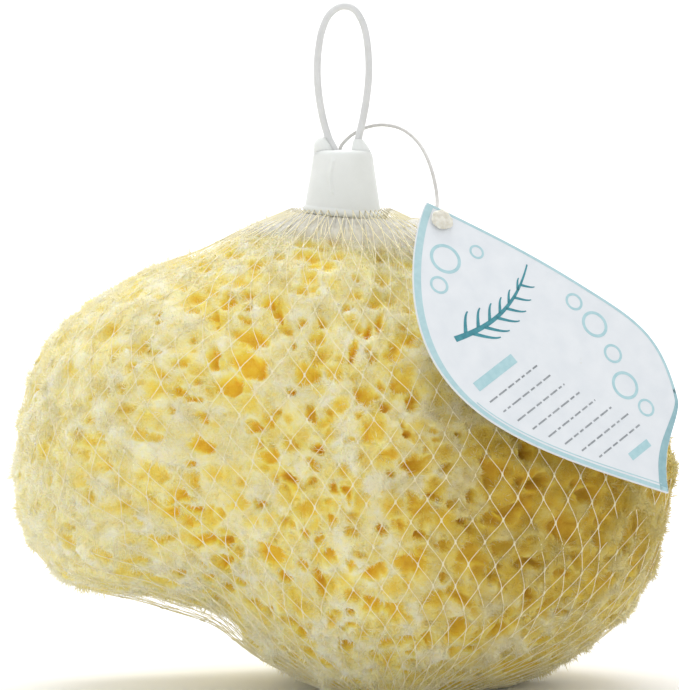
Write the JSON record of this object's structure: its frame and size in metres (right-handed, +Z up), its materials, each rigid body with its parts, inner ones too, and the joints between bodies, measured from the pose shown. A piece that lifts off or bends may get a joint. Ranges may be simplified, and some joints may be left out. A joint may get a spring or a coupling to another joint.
{
  "type": "sea sponge",
  "caption": "Natural bath sea sponge in a fine net bag, gathered into a small cap with a hanging loop and a leaf-shaped swing tag on a string.",
  "frame": {"origin": "on the ground under the middle of the object's box, on the plane of the sponge's flattened underside", "axes": "+Z up, along the cap and its hanging loop; the side with the swing tag faces -Y; +X is to the right seen from the front"},
  "size_m": [0.1819, 0.1229, 0.1828],
  "materials": {
    "sponge": "soft, dry and open-pored",
    "net": "thin translucent netting",
    "cap": "smooth satin",
    "loop": "smooth satin",
    "tag": "coated card",
    "string": "thin translucent strand",
    "knot": "translucent"
  },
  "bodies": {
    "root": {"sponge": "sponge", "net_bag": "net", "cap": "cap", "hang_loop": "loop", "tag": "tag", "tag_string": "string", "string_knot": "knot"}
  },
  "joints": []
}
